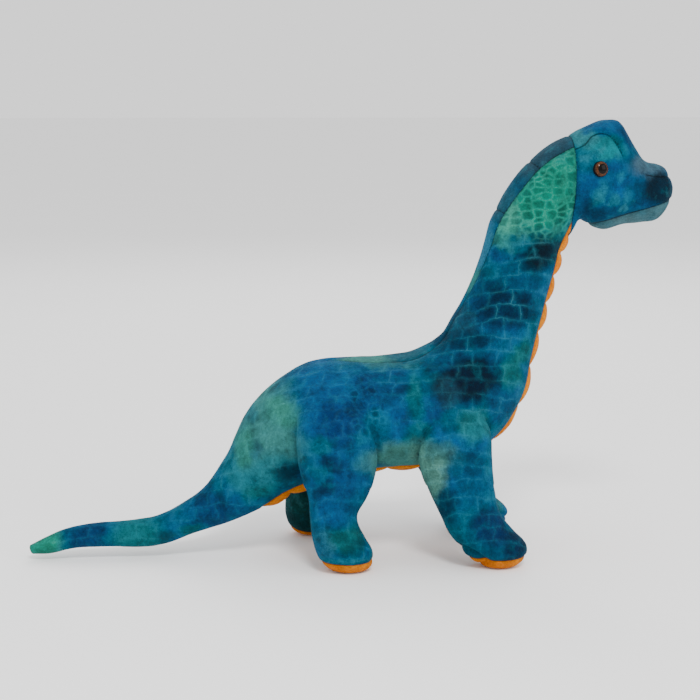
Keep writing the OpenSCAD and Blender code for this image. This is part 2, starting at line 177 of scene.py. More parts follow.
# The uneven stuffing's lumps: height, size and seed.
LUMPS = [0.5, 26, 3.1]
SMALL_LUMPS = [0.22, 9, 7.7]


def dense(table, step):
    """A table's rows filled in to about step apart along a smooth curve."""
    rows = np.array(table, float)
    at = np.concatenate([[0], np.cumsum(np.hypot(*np.diff(rows[:, :2], axis=0).T))])
    slope = np.gradient(rows, at, axis=0)
    fine = np.linspace(0, at[-1], int(at[-1] / step) + 1)
    k = np.clip(np.searchsorted(at, fine, side="right") - 1, 0, len(at) - 2)
    h = (at[k + 1] - at[k])[:, None]
    u = (fine - at[k])[:, None] / h
    return (
        rows[k] * (1 + 2 * u) * (1 - u) ** 2 + slope[k] * h * u * (1 - u) ** 2
        + rows[k + 1] * u * u * (3 - 2 * u) + slope[k + 1] * h * u * u * (u - 1))


def leg_rows(leg):
    """A leg's sections from the floor up, with its stride and side."""
    table, side, stride = LEGS[leg]
    rows = dense(table, 1.5)
    rows[:, 1] += stride * np.maximum(0, 1 - rows[:, 0] / HIP_Z)
    rows[:, 2] *= side
    return rows


def spine_ring(row):
    """The points round a cross-section of the body."""
    x, z, heading, wide, up, down = row[:6]
    turn = np.arange(RING) * 2 * np.pi / RING
    reach = np.where(np.cos(turn) >= 0, up, down) * np.cos(turn)
    h = math.radians(heading)
    return np.column_stack(
        [x - reach * math.sin(h), wide * np.sin(turn), z + reach * math.cos(h)])


def leg_ring(row):
    """The points round a cross-section of a leg."""
    z, x, y, half_length, half_width = row
    turn = np.arange(RING) * 2 * np.pi / RING
    return np.column_stack(
        [x + half_length * np.cos(turn), y + half_width * np.sin(turn), np.full(RING, z)])


def tube(rings):
    """Points and faces of a closed tube through rings."""
    n = len(rings)
    points = np.concatenate(rings + [rings[0].mean(0)[None], rings[-1].mean(0)[None]])
    faces = []
    for i in range(n - 1):
        for k in range(RING):
            a, b = i * RING + k, i * RING + (k + 1) % RING
            faces.append((a, b, b + RING, a + RING))
    for k in range(RING):
        faces.append((n * RING, (k + 1) % RING, k))
        faces.append((n * RING + 1, (n - 1) * RING + k, (n - 1) * RING + (k + 1) % RING))
    return points, faces


def placed(name, data):
    """A new object of the scene, made of a mesh, a lamp or a lens."""
    made = bpy.data.objects.new(name, data)
    bpy.context.scene.collection.objects.link(made)
    return made


def body_surface():
    """The whole toy as one skin: the tubes of the body and the legs grown together."""
    points, faces, count = [], [], 0
    tubes = [[spine_ring(row) for row in dense(SPINE, 2.5)]]
    tubes += [[leg_ring(row) for row in leg_rows(leg)] for leg in LEGS]
    for rings in tubes:
        p, f = tube(rings)
        points.append(p)
        faces += [tuple(i + count for i in face) for face in f]
        count += len(p)
    mesh = bpy.data.meshes.new("body_draft")
    mesh.from_pydata(np.concatenate(points).tolist(), [], faces)
    draft = placed("body_draft", mesh)
    grown = draft.modifiers.new("grown", "REMESH")
    grown.mode = "VOXEL"
    grown.voxel_size = VOXEL
    evaluated = draft.evaluated_get(bpy.context.evaluated_depsgraph_get())
    skin = bpy.data.meshes.new_from_object(evaluated)
    co = np.zeros(len(skin.vertices) * 3)
    skin.vertices.foreach_get("co", co)
    skin.calc_loop_triangles()
    tris = np.zeros(len(skin.loop_triangles) * 3, np.int64)
    skin.loop_triangles.foreach_get("vertices", tris)
    bpy.data.objects.remove(draft)
    bpy.data.meshes.remove(mesh)
    bpy.data.meshes.remove(skin)
    return co.reshape(-1, 3), tris.reshape(-1, 3)


def edges_of(tris):
    """Each edge of the triangles once, as a pair of points."""
    pairs = np.sort(np.concatenate([tris[:, [0, 1]], tris[:, [1, 2]], tris[:, [2, 0]]]), axis=1)
    return np.unique(pairs, axis=0)


def relax(values, edges, strength, times):
    """Each point's values moved towards the mean of its neighbours'."""
    n = len(values)
    degree = np.bincount(edges.ravel(), minlength=n)[:, None]
    strength = np.broadcast_to(np.asarray(strength, float).reshape(-1, 1), (n, 1))
    for _ in range(times):
        mean = np.column_stack([
            np.bincount(edges[:, 0], values[edges[:, 1], c], n)
            + np.bincount(edges[:, 1], values[edges[:, 0], c], n)
            for c in range(values.shape[1])]) / degree
        values = values + strength * (mean - values)
    return values


def normals_of(co, tris):
    """The direction that the surface faces at each point."""
    a, b, c = co[tris[:, 0]], co[tris[:, 1]], co[tris[:, 2]]
    face = np.cross(b - a, c - a)
    out = np.column_stack([
        sum(np.bincount(tris[:, k], face[:, i], len(co)) for k in range(3)) for i in range(3)])
    return out / np.maximum(np.linalg.norm(out, axis=1, keepdims=True), 1e-9)


def spine_fields(co):
    """For each point: how far along the spine it is, how far outside the section there it
    lies, how far inside the back and belly seams, and the section's half width."""
    rows = dense(SPINE, 1.5)
    h = np.radians(rows[:, 2])
    travel = np.concatenate([[0], np.cumsum(np.hypot(*np.diff(rows[:, :2], axis=0).T))])
    out = np.zeros((len(co), 5))
    for start in range(0, len(co), 20000):
        p = co[start:start + 20000]
        dx, dz = p[:, :1] - rows[:, 0], p[:, 2:] - rows[:, 1]
        ahead = dx * np.cos(h) + dz * np.sin(h)
        up = -dx * np.sin(h) + dz * np.cos(h)
        reach = np.where(up >= 0, rows[:, 4], rows[:, 5])
        spread = np.hypot(p[:, 1:2] / rows[:, 3], up / reach)
        crossed = (ahead[:, :-1] > 0) & (ahead[:, 1:] <= 0)
        cost = np.where(crossed, spread[:, :-1], 1e6)
        k = np.argmin(cost, axis=1)
        lost = ~crossed.any(axis=1)
        k[lost] = np.where(p[lost, 0] < 0, 0, len(rows) - 2)
        i = np.arange(len(p))
        u = np.clip(ahead[i, k] / np.where(lost, 1, ahead[i, k] - ahead[i, k + 1]), 0, 1)
        row = rows[k] * (1 - u)[:, None] + rows[k + 1] * u[:, None]
        v = up[i, k] * (1 - u) + up[i, k + 1] * u
        r = np.where(v >= 0, row[:, 4], row[:, 5])
        rho = np.maximum(np.hypot(p[:, 1] / row[:, 3], v / r), 1e-6)
        size = np.hypot(p[:, 1], v)
        turn = np.degrees(np.arctan2(np.abs(p[:, 1]) / row[:, 3], v / r))
        to_mm = np.pi / 180 * size
        out[start:start + 20000] = np.column_stack([
            travel[k] * (1 - u) + travel[k + 1] * u, size * (1 - 1 / rho),
            (row[:, 6] - turn) * to_mm, (row[:, 7] - (180 - turn)) * to_mm, row[:, 3]])
    return out


def leg_fields(co, leg):
    """For each point: how far outside the leg it lies, and how far out from its middle."""
    rows = leg_rows(leg)
    z = np.clip(co[:, 2], rows[0, 0], rows[-1, 0])
    x, y, half_length, half_width = (np.interp(z, rows[:, 0], rows[:, c]) for c in range(1, 5))
    dx, dy = co[:, 0] - x, co[:, 1] - y
    rho = np.maximum(np.hypot(dx / half_length, dy / half_width), 1e-6)
    beyond = np.hypot(dx, dy) * (1 - 1 / rho)
    beyond += 1.5 * np.maximum(0, co[:, 2] - rows[-1, 0])
    return beyond, dy * LEGS[leg][1]


def past(co, plane):
    """How far points lie past a piece's plane, along its heading."""
    x, z, heading = plane
    h = math.radians(heading)
    return (co[:, 0] - x) * math.cos(h) + (co[:, 2] - z) * math.sin(h)


def above(co, seam):
    """How far points lie above a seam drawn on the head's side, square to the seam."""
    seam = np.array(seam, float)
    fine = dense(seam, 1.0)
    z = np.interp(co[:, 0], fine[:, 0], fine[:, 1])
    slope = np.interp(co[:, 0], fine[:, 0], np.gradient(fine[:, 1], fine[:, 0]))
    return (co[:, 2] - z) / np.hypot(1, slope)


def ripple(co, size, seed):
    """Smooth noise over the surface, from -1 to 1."""
    return np.array([
        noise.noise(Vector((p[0] / size + seed, p[1] / size, p[2] / size))) for p in co])


def rise(values, start, width):
    """0 up to start, 1 from width further on, and straight between."""
    return np.clip((values - start) / width, 0, 1)


def bump(distance, width):
    """1 at no distance, fading to 0 on both sides."""
    return np.exp(-(distance / width) ** 2)


class Shell:
    """Triangles with any number of values at each point, cut exactly along lines."""

    def __init__(self, values, tris, names):
        self.values, self.tris, self.names = values, tris, names

    def column(self, name):
        """One of the named values, at each point."""
        return self.values[:, self.names.index(name)]

    def split(self, line):
        """The parts where line is above and below 0. line has one number for each point."""
        f = np.array(line, float)
        f[np.abs(f) < 0.06] = 0
        values, tris = np.column_stack([self.values, f]), self.tris
        s = np.sign(f)[tris]
        crossing = (s.min(1) < 0) & (s.max(1) > 0)
        kept, cut = [tris[~crossing]], tris[crossing]
        s = s[crossing]
        pairs = np.concatenate([cut[:, [0, 1]], cut[:, [1, 2]], cut[:, [2, 0]]])
        pairs = np.sort(pairs[f[pairs[:, 0]] * f[pairs[:, 1]] < 0], axis=1)
        pairs = np.unique(pairs, axis=0)
        a, b = pairs[:, 0], pairs[:, 1]
        u = (f[a] / (f[a] - f[b]))[:, None]
        new = values[a] * (1 - u) + values[b] * u
        new[:, -1] = 0
        n = len(values)
        keys = a * n + b

        def middle(p, q):
            low, high = np.minimum(p, q), np.maximum(p, q)
            return n + np.searchsorted(keys, low * n + high)

        values = np.concatenate([values, new])
        with_zero = (s == 0).any(1)
        t, k = cut[with_zero], np.argmax(s[with_zero] == 0, axis=1)
        i = np.arange(len(t))
        p, q, r = t[i, k], t[i, (k + 1) % 3], t[i, (k + 2) % 3]
        m = middle(q, r)
        kept += [np.column_stack([p, q, m]), np.column_stack([p, m, r])]
        t, s = cut[~with_zero], s[~with_zero]
        k = np.argmax(s == -np.sign(s.sum(1))[:, None], axis=1)
        i = np.arange(len(t))
        p, q, r = t[i, k], t[i, (k + 1) % 3], t[i, (k + 2) % 3]
        m, o = middle(p, q), middle(r, p)
        kept += [np.column_stack([p, m, o]), np.column_stack([m, q, r]),
                 np.column_stack([m, r, o])]
        tris = np.concatenate(kept)
        side = values[:, -1][tris].sum(1) > 0
        values = values[:, :-1]
        return (Shell(values, tris[side], self.names).tidied(),
                Shell(values, tris[~side], self.names).tidied())

    def tidied(self):
        """The same triangles without the points that none of them uses."""
        used, tris = np.unique(self.tris, return_inverse=True)
        return Shell(self.values[used], tris.reshape(-1, 3), self.names)


def seam_lines(co, spine, legs):
    """The lines along which the covers are sewn, positive on the named side."""
    beyond_spine, back, belly = spine[:, 1:4].T
    x, y, z = co.T
    lines = {
        "back": back, "belly": belly,
        "neck": past(co, NECK_START), "upper_neck": past(co, NECK_MIDDLE),
        "head": past(co, HEAD_START), "tail": TAIL_START_X - x, "left": y,
        "crown": above(co, BROW_SEAM),
        "chin": np.minimum(-above(co, CHIN_SEAM), x - CHIN_BACK)}
    for leg in LEGS:
        nearest = np.min([beyond_spine] + [legs[k][0] for k in LEGS if k != leg], axis=0)
        lines[leg] = nearest - legs[leg][0]
        lines[leg + "_outer"] = np.maximum(legs[leg][1], z - INNER_TOP)
    # A sole turns up further on the outer side of its foot than between the feet.
    lines["sole"] = SOLE_TOP - SOLE_LESS * rise(-np.abs(y), -FOOT_Y, 14) - z
    return lines


def seam_distance(co, lines, near_leg, on_leg, in_belly, travel):
    """How far each point is from the nearest seam or fold."""
    x, _, z = co.T
    on_head = lines["head"] > 0
    on_body = ~on_leg & ~on_head
    seam = np.full(len(co), FAR)

    def sewn(line, where):
        np.minimum(seam, np.where(where, np.abs(line), FAR), out=seam)

    sewn(lines["back"], on_body)
    sewn(lines["belly"], on_body)
    # The brow's seam lies flush behind the snout.
    flush = 2.5 * np.clip(1.3 - ((x - BROW_FLUSH) / 8) ** 2, 0, 1)
    sewn(np.abs(lines["crown"]) + flush, on_head)
    sewn(lines["chin"], on_head)
    sewn(lines["head"], ~on_leg & (lines["upper_neck"] > 0))
    for leg in LEGS:
        sewn(lines[leg + "_outer"], (lines[leg] > 0) & (z < LEG_SEAM_TOP))
    sewn(lines["sole"], on_leg)
    # The crease where each leg leaves the trunk counts as a fold: there the pile is pulled in and
    # gets painted shade, less of both above FOLD_FADES.
    sewn(np.abs(near_leg) + 0.4 + 6 * rise(z, FOLD_FADES, 12), True)
    for join in STRIP_JOINS:
        sewn(past(co, join), (lines["back"] > 0) & on_body)
    # The belly strip is sewn across in channels, along which the pile gets stitch lines and
    # painted shade.
    channel = QUILT_PITCH * np.abs((travel / QUILT_PITCH + 0.5) % 1 - 0.5)
    sewn(channel + 0.35, in_belly)
    return seam


def relief(co, spine, lines, near_leg, seam, in_belly):
    """How far the stuffing pushes each point out, less what stitches and folds pull in."""
    travel, wide = spine[:, 0], spine[:, 4]
    x, y, z = co.T
    on_head = lines["head"] > 0
    out = -STITCH_DEPTH * bump(seam, 1.2) + PILE_PUFF * (1 - bump(seam, 7)) - 0.1
    # Rounded swellings between the channels.
    half = np.maximum(np.radians(32) * wide, 1)
    across = np.clip(lines["belly"] / (0.55 * half), 0, 1)
    swell = np.abs(np.sin(np.pi * travel / QUILT_PITCH)) ** 0.5
    out += np.where(in_belly, across * (CHANNEL_SWELL * swell - CHANNEL_SINK), 0)
    # Creases where the legs leave the trunk.
    out -= CREASE_DEPTH * bump(near_leg, 2.0) * rise(-z, -CREASE_ENDS, 14)
    # The brow's roll over the eye, the pinch at its end, and the socket under it.
    first, last, fullest = BROW_ROLL
    over_eye = on_head & (x > first) & (x < last)
    roll = BROW_HEIGHT * bump(lines["crown"] - 2.6, 2.2) * bump(x - fullest, 12)
    out += np.where(over_eye, roll, 0)
    pinch_x, pinch_z = BROW_PINCH
    to_pinch = np.hypot(x - pinch_x, z - pinch_z)
    pinched = PINCH_DEPTH * bump(lines["crown"], 1.8) * bump(to_pinch, 13)
    out -= np.where(on_head, pinched, 0)
    to_eye = np.linalg.norm(
        np.column_stack([x, np.abs(y), z]) - np.array(EYE_AT), axis=1)
    out -= SOCKET_DEPTH * bump(to_eye, 9)
    # Uneven stuffing, and flat soles.
    (high, size, seed), (low, small_size, small_seed) = LUMPS, SMALL_LUMPS
    out += high * ripple(co, size, seed) + low * ripple(co, small_size, small_seed)
    return np.where(z < 1.0, 0, out)


def whole_skin():
    """The toy's outer surface as a Shell, with its reliefs and the lines of its seams."""
    co, tris = body_surface()
    edges = edges_of(tris)
    # Smoothed and then spread again, so that nothing gets thinner.
    for _ in range(4):
        co = relax(co, edges, 0.5, 1)
        co = relax(co, edges, -0.52, 1)
    spine = spine_fields(co)
    near_leg = np.full(len(co), 1e3)
    for leg in LEGS:
        apart = spine[:, 1] - leg_fields(co, leg)[0]
        near_leg = np.where(np.abs(apart) < np.abs(near_leg), apart, near_leg)
    # The tops of the legs grow smoothly out of the trunk, and the lower creases stay.
    grown = bump(near_leg, 9) * np.maximum(rise(co[:, 2], TOP_GROWS, 18), 0.03)
    co = relax(co, edges, 0.6 * grown, 60)

    spine = spine_fields(co)
    lines = seam_lines(co, spine, {leg: leg_fields(co, leg) for leg in LEGS})
    on_leg = np.max([lines[leg] for leg in LEGS], axis=0) > 0
    in_belly = (lines["belly"] > 0) & ~on_leg & ~(lines["head"] > 0)
    seam = seam_distance(co, lines, near_leg, on_leg, in_belly, spine[:, 0])
    out = relief(co, spine, lines, near_leg, seam, in_belly)
    co = co + normals_of(co, tris) * out[:, None]
    co = relax(co, edges, 0.25, 1)
    co[:, 2] = np.maximum(co[:, 2], 0)
    names = ["x", "y", "z", "nx", "ny", "nz", "seam"] + list(lines)
    values = np.column_stack([co, normals_of(co, tris), seam] + list(lines.values()))
    return Shell(values, tris, names)

# ---------------------------------------------------------------- finishes

# How much light deep pile keeps of a dye's colour, and the depth of its nap in metres.
IN_PILE = 0.45
NAP = 0.0008


def linear(red, green, blue):
    """A colour given as on a dyer's card, 0 to 255, as the shader takes it."""
    return tuple(
        (c / 255 / 12.92 if c <= 10 else ((c / 255 + 0.055) / 1.055) ** 2.4)
        for c in (red, green, blue)) + (1.0,)


class Shade:
    """An output of one of a material's nodes. Arithmetic on it adds Math nodes."""

    def __init__(self, tree, out=None):
        self.tree, self.out = tree, out

    def add(self, kind, settings=None, inputs=None, out=0):
        """A new node: its settings first, then its sockets' values or links."""
        node = self.tree.nodes.new("ShaderNode" + kind)
        for name, value in (settings or {}).items():
            setattr(node, name, value)
        for name, value in (inputs or {}).items():
            if isinstance(value, Shade):
                self.tree.links.new(value.out, node.inputs[name])
            else:
                node.inputs[name].default_value = value
        return Shade(self.tree, node.outputs[out] if len(node.outputs) else None)

    def math(self, operation, *terms):
        """A Math node of numbers and values."""
        return self.add("Math", {"operation": operation}, dict(enumerate(terms)))

    def __add__(self, other):
        return self.math("ADD", self, other)

    def __sub__(self, other):
        return self.math("SUBTRACT", self, other)

    def __mul__(self, other):
        return self.math("MULTIPLY", self, other)

    def __radd__(self, other):
        return self.math("ADD", other, self)

    def __rsub__(self, other):
        return self.math("SUBTRACT", other, self)

    def __rmul__(self, other):
        return self.math("MULTIPLY", other, self)

    def step(self, low, high):
        """0 at low, 1 at high, and smooth between."""
        return self.add(
            "MapRange", {"interpolation_type": "SMOOTHSTEP"},
            {0: self, 1: low, 2: high, 3: 0.0, 4: 1.0})

    def mix(self, first, second):
        """first where this is 0, and second where it is 1."""
        return self.add(
            "Mix", {"data_type": "RGBA"}, {0: self, 6: first, 7: second}, 2)

    def vector(self, operation, *terms):
        """Vector Math. A length comes out as a value."""
        value = operation in ("LENGTH", "DOT_PRODUCT")
        return self.add(
            "VectorMath", {"operation": operation}, dict(enumerate(terms)), 1 if value else 0)

    def noise(self, scale, detail=2.0, rough=0.5):
        """Smooth noise over the places that this holds."""
        return self.add(
            "TexNoise", None,
            {"Vector": self, "Scale": scale, "Detail": detail, "Roughness": rough})

    def attribute(self, name, out):
        """A value that the mesh holds at each point."""
        return self.add("Attribute", {"attribute_name": name}, None, out)

    def surface(self, sockets):
        """The material's shader, from its sockets' values or links, and its output."""
        self.add("OutputMaterial", None, {0: self.add("BsdfPrincipled", None, sockets)})


def material(name):
    """A new empty material, and the Shade that its nodes are added with."""
    made = bpy.data.materials.new(name)
    made.use_nodes = True
    tree = made.node_tree
    tree.nodes.clear()
    return made, Shade(tree)


def cloth(shade):
    """The place on the cloth, in metres, and the mm from there to the nearest seam."""
    return shade.attribute("place", 1), shade.attribute("seam", 2)


def shaded(colour, light):
    """A colour times a value."""
    grey = light.add("CombineColor", None, {0: light, 1: light, 2: light})
    return light.add("Mix", {"data_type": "RGBA", "blend_type": "MULTIPLY"},
                     {0: 1.0, 6: colour, 7: grey}, 2)


def deepen(colour, amount):
    """A colour made deeper, from 0, not at all, to 1, black."""
    return shaded(colour, 1.0 - amount)


def finish_pile(shade, colour, place, seam, sheen):
    """Short brushed pile: a soft sheen, a fine nap, dark stitch lines at seams, and painted
    shade in the grooves along seams, channels and the legs' creases.
    """
    fibre = place.noise(1300.0, 2.0, 0.6)
    tuft = place.noise(520.0, 3.0, 0.65)
    brushed = place.vector("MULTIPLY", place, (1.0, 1.0, 0.4)).noise(150.0, 4.0, 0.65)
    light = 0.56 + 0.26 * tuft.step(0.32, 0.68) + 0.26 * brushed.step(0.32, 0.68)
    light = light + 0.22 * fibre.step(0.32, 0.68)
    # Dark stitch lines within 0.75 mm of seams and channels, painted shade in the same band along
    # the legs' creases, and a wider band of painted shade out to 3.5 mm in the grooves.
    light = light * (1.0 - 0.78 * seam.step(0.75, 0.1)) * (0.84 + 0.16 * seam.step(0.4, 3.5))
    height = 0.6 * fibre + 1.1 * tuft + 1.5 * brushed
    bumped = shade.add("Bump", None, {"Strength": 0.7, "Distance": NAP, "Height": height})
    shade.surface({
        "Base Color": shaded(colour, light), "Roughness": 0.8 + 0.15 * tuft,
        "Normal": bumped, "Sheen Weight": 0.05, "Sheen Roughness": 0.5,
        "Sheen Tint": sheen, "Specular IOR Level": 0.08})


def dye(red, green, blue):
    """A dye's colour as it looks in deep pile, from its 0 to 255 values on a card."""
    return tuple(c * IN_PILE for c in linear(red, green, blue)[:3]) + (1.0,)


BLUE = dye(0, 100, 162)
DEEP = dye(0, 70, 124)
NAVY = dye(0, 42, 72)
TEAL = dye(2, 116, 144)
PINE = dye(2, 98, 112)
LEAF = dye(6, 124, 122)
MINT = dye(62, 174, 150)
AQUA = dye(36, 146, 162)
SEAFOAM = dye(84, 158, 146)
VEIN = dye(84, 176, 190)
SLATE = dye(42, 84, 106)
MIST = dye(58, 128, 150)
CHIN = dye(84, 130, 140)
ORANGE = (0.52, 0.132, 0.0, 1.0)
HONEY = (0.56, 0.172, 0.002, 1.0)

# Patches of dye: x, z, half length, half height, colour, strength.
PATCHES = [
    # tail
    [-228, 10, 20, 16, dye(44, 176, 142), 0.9], [-190, 17, 20, 14, DEEP, 0.9],
    [-157, 18, 22, 13, dye(8, 134, 142), 0.9], [-137, 19, 9, 7, dye(20, 70, 92), 0.8],
    [-103, 38, 18, 17, DEEP, 0.85], [-118, 22, 9, 6, LEAF, 0.7], [-88, 52, 9, 8, BLUE, 0.6],
    # rump
    [-76, 66, 18, 24, AQUA, 0.85], [-62, 100, 26, 34, dye(74, 158, 150), 0.92],
    [-80, 84, 8, 16, MINT, 0.6], [-60, 70, 15, 14, AQUA, 0.7], [-52, 112, 13, 11, MINT, 0.55],
    [-76, 108, 6, 9, TEAL, 0.5], [-85, 44, 8, 8, BLUE, 0.7],
    [-49, 66, 11, 11, dye(0, 60, 84), 0.9], [-68, 52, 12, 8, LEAF, 0.55],
    [-72, 84, 5, 7, DEEP, 0.4],
    # hip and hind leg
    [-24, 118, 22, 34, BLUE, 0.95], [-16, 108, 16, 20, dye(0, 58, 120), 0.8],
    [4, 122, 13, 24, DEEP, 0.7], [-27, 93, 11, 8, LEAF, 0.5],
    [-21, 79, 8.5, 7.5, dye(0, 50, 84), 0.95],
    [-24, 63, 9, 8, dye(0, 54, 92), 0.9], [-31, 73, 5, 8, TEAL, 0.6], [-8, 80, 12, 22, DEEP, 0.5],
    [-8, 52, 11, 14, DEEP, 0.5], [-22, 46, 9, 10, BLUE, 0.5],
    [-11, 27, 17, 12, dye(0, 104, 104), 0.9], [-3, 20, 7, 7, dye(0, 70, 84), 0.7],
    [-27, 24, 8, 13, MIST, 0.6], [-14, 11, 20, 5, AQUA, 0.55],
    # flank
    [20, 132, 20, 13, DEEP, 0.7], [13, 104, 11, 14, TEAL, 0.7], [36, 80, 37, 14, SEAFOAM, 0.95],
    [41, 122, 6, 18, LEAF, 0.6], [42, 98, 12, 9, LEAF, 0.6], [56, 116, 10, 14, DEEP, 0.8],
    [30, 112, 8, 8, DEEP, 0.5], [80, 134, 31, 19, dye(0, 28, 52), 0.97],
    [62, 126, 10, 13, SLATE, 0.55],
    [70, 108, 14, 10, PINE, 0.7], [83, 102, 14, 12, dye(28, 132, 138), 0.85],
    [112, 138, 9, 15, LEAF, 0.8], [106, 116, 15, 16, dye(6, 84, 132), 0.9],
    [26, 147, 26, 6, dye(56, 132, 132), 0.7], [60, 146, 14, 6, DEEP, 0.5],
    # fore leg
    [50, 70, 12, 22, dye(112, 186, 170), 0.95], [58, 88, 12, 8, dye(60, 120, 122), 0.7],
    [62, 47, 8, 14, dye(0, 58, 88), 0.85], [76, 78, 14, 12, dye(0, 70, 104), 0.7],
    [80, 58, 12, 16, dye(0, 88, 132), 0.7], [92, 32, 17, 15, dye(0, 44, 96), 0.9],
    [110, 18, 12, 14, dye(0, 36, 74), 0.9], [92, 12, 18, 5, dye(0, 76, 120), 0.6],
    # neck
    [62, 162, 12, 11, NAVY, 0.85], [86, 161, 20, 9, dye(0, 54, 88), 0.85],
    [78, 174, 14, 11, dye(40, 88, 116), 0.8], [121, 150, 9, 8, LEAF, 0.8],
    [110, 186, 28, 18, dye(0, 50, 84), 0.9], [98, 204, 12, 9, NAVY, 0.5],
    [118, 208, 18, 12, dye(0, 82, 118), 0.7],
    [137, 266, 32, 36, dye(2, 152, 126), 1.0], [158, 284, 10, 20, dye(4, 148, 126), 0.9],
    [109, 246, 13, 22, MINT, 0.95], [104, 231, 14, 8, dye(40, 150, 146), 0.9],
    [138, 222, 24, 12, dye(0, 34, 54), 0.97], [99, 222, 12, 6, BLUE, 0.8],
    [118, 230, 10, 6, TEAL, 0.8], [98, 210, 10, 8, TEAL, 0.5]]
# And on the head.
HEAD_PATCHES = [
    [180, 272, 34, 34, dye(0, 94, 138), 1.0], [168, 270, 9, 13, dye(0, 88, 146), 0.8],
    [192, 270, 10, 8, BLUE, 0.8], [176, 298, 19, 13, dye(0, 146, 158), 1.0],
    [164, 291, 10, 11, TEAL, 0.8], [163, 306, 13, 8, dye(58, 148, 160), 0.85],
    [184, 314, 20, 7, dye(0, 92, 146), 0.95], [198, 306, 9, 12, dye(0, 60, 104), 0.9],
    [203, 292, 8, 10, dye(4, 80, 108), 0.8], [206, 284, 7, 7, DEEP, 0.6],
    [173, 262, 5, 9, AQUA, 0.6], [186, 262, 5, 5, AQUA, 0.5], [198, 262, 6, 7, AQUA, 0.4],
    [190, 275, 5, 5, AQUA, 0.35], [188, 250, 24, 8, dye(0, 72, 112), 0.85],
    [205, 262, 7, 12, dye(0, 84, 124), 0.6], [222, 268, 17, 15, dye(6, 36, 54), 0.97],
    [168, 256, 8, 7, dye(0, 66, 110), 0.7], [184, 284, 9, 6, dye(0, 82, 140), 0.7],
    [176, 268, 3.5, 7, dye(40, 150, 172), 0.5], [194, 254, 5, 4, dye(60, 160, 180), 0.5],
    [216, 285, 19, 9, dye(72, 108, 128), 1.0], [176, 241, 14, 4, dye(2, 80, 96), 0.6]]
# On the inner sides of the legs: a darker dye, made darker still by painted shade, as if in the
# shadow between the legs.
INNER_DYE_AND_SHADE_PATCHES = [
    [-20, 40, 60, 90, dye(8, 66, 66), 0.95], [-40, 30, 12, 10, dye(4, 84, 80), 0.6],
    [80, 60, 44, 90, dye(4, 72, 100), 0.9], [114, 20, 12, 16, dye(50, 128, 130), 0.8]]
# On the strip along the back, slate at the top and dyed like the panels below.
BACK_PATCHES = [
    [140, 290, 34, 30, dye(44, 84, 104), 1.0], [110, 256, 16, 16, dye(46, 102, 126), 1.0],
    [97, 222, 12, 22, dye(52, 132, 168), 1.0], [90, 198, 10, 12, dye(60, 150, 142), 0.9],
    [78, 174, 12, 12, dye(40, 84, 116), 0.9], [62, 160, 12, 9, dye(4, 56, 90), 0.9],
    [36, 148, 18, 9, dye(34, 96, 116), 0.9], [8, 146, 18, 9, dye(84, 160, 146), 0.85]]


def patch(place, x, z, half_length, half_height):
    """1 in the middle of an oval patch and 0 outside it, all the way through the toy."""
    near = place.vector("MULTIPLY_ADD", place, (1000 / half_length, 0.0, 1000 / half_height),
                        (-x / half_length, 0.0, -z / half_height))
    return near.vector("LENGTH", near).step(1.3, 0.5)


def stirred(place, scale, reach, detail=3.0):
    """The place on the cloth, stirred about, for blotches with uneven edges."""
    drift = place.add("TexNoise", None, {
        "Vector": place, "Scale": scale, "Detail": detail, "Roughness": 0.6}, 1)
    drift = drift.vector("SUBTRACT", drift, (0.5, 0.5, 0.5))
    return place.vector("ADD", place, drift.vector("MULTIPLY", drift, (reach, reach, reach)))


def dyed(place, base, other, patches):
    """Cloth dyed unevenly from base to other, with soft patches of more dye."""
    colour = place.noise(17.0, 3.0, 0.6).step(0.38, 0.64).mix(base, other)
    warped = stirred(place, 55.0, 0.018, 4.0)
    for x, z, half_length, half_height, colour_of_patch, strength in patches:
        inside = patch(warped, x, z, half_length, half_height) * strength
        colour = inside.mix(colour, colour_of_patch)
    cloud = stirred(place, 110.0, 0.006).noise(75.0, 4.0, 0.7)
    colour = (cloud.step(0.50, 0.30) * 0.22).mix(colour, AQUA)
    return deepen(colour, cloud.step(0.46, 0.70) * 0.40)


def scales(place, size, seed, randomness):
    """Rounded cells: the distances to their edges and middles, and a number for each."""
    drift = stirred(place, 80.0, 0.005, 1.0)
    grid = drift.vector("MULTIPLY_ADD", drift, tuple(1 / s for s in size), (seed, seed, seed))
    inputs = {"Vector": grid, "Scale": 1.0, "Randomness": randomness}
    edge = grid.add("TexVoronoi", {"feature": "DISTANCE_TO_EDGE"}, inputs)
    middle = grid.add("TexVoronoi", {"feature": "F1"}, inputs)
    own = grid.add("TexVoronoi", {"feature": "F1"}, inputs, 1)
    return edge, middle, own.add("SeparateColor", None, {0: own})


def bricks(place, length, height):
    """Oblong scales in rows: mm to the nearest edge, a value that is 1 in the middle and 0
    at the corners, and a number for each."""
    drift = stirred(place, 38.0, 0.013, 3.0)
    x, y, z = (drift.add("SeparateXYZ", None, {0: drift}, axis) for axis in range(3))
    side = y.math("ABSOLUTE", y)
    row = (z - 0.5 * side) * (1000 / height)
    number = row.math("FLOOR", row)
    along = (x + 0.4 * side) * (1000 / length) + 0.37 * number
    place_of_cell = row.add("CombineXYZ", None, {0: along.math("FLOOR", along), 1: number})
    own = row.add("TexWhiteNoise", {"noise_dimensions": "2D"}, {"Vector": place_of_cell})
    off_row = row.math("ABSOLUTE", row.math("FRACT", row) - 0.5)
    off_along = row.math("ABSOLUTE", along.math("FRACT", along) - 0.5)
    edge = row.math("MINIMUM", (0.5 - off_row) * height, (0.5 - off_along) * length)
    round_off = row.math("POWER", 2.0 * off_row, 3.0) + row.math("POWER", 2.0 * off_along, 3.0)
    return edge, round_off.step(1.1, 0.0), own


# The sizes of the printed scales: cells in metres, and the body's rows of scales in mm.
NECK_SCALE = (0.0080, 0.0080, 0.0054)
HIP_SCALE = (0.0068, 0.0085, 0.0056)
BODY_SCALE = (16.5, 11.5)


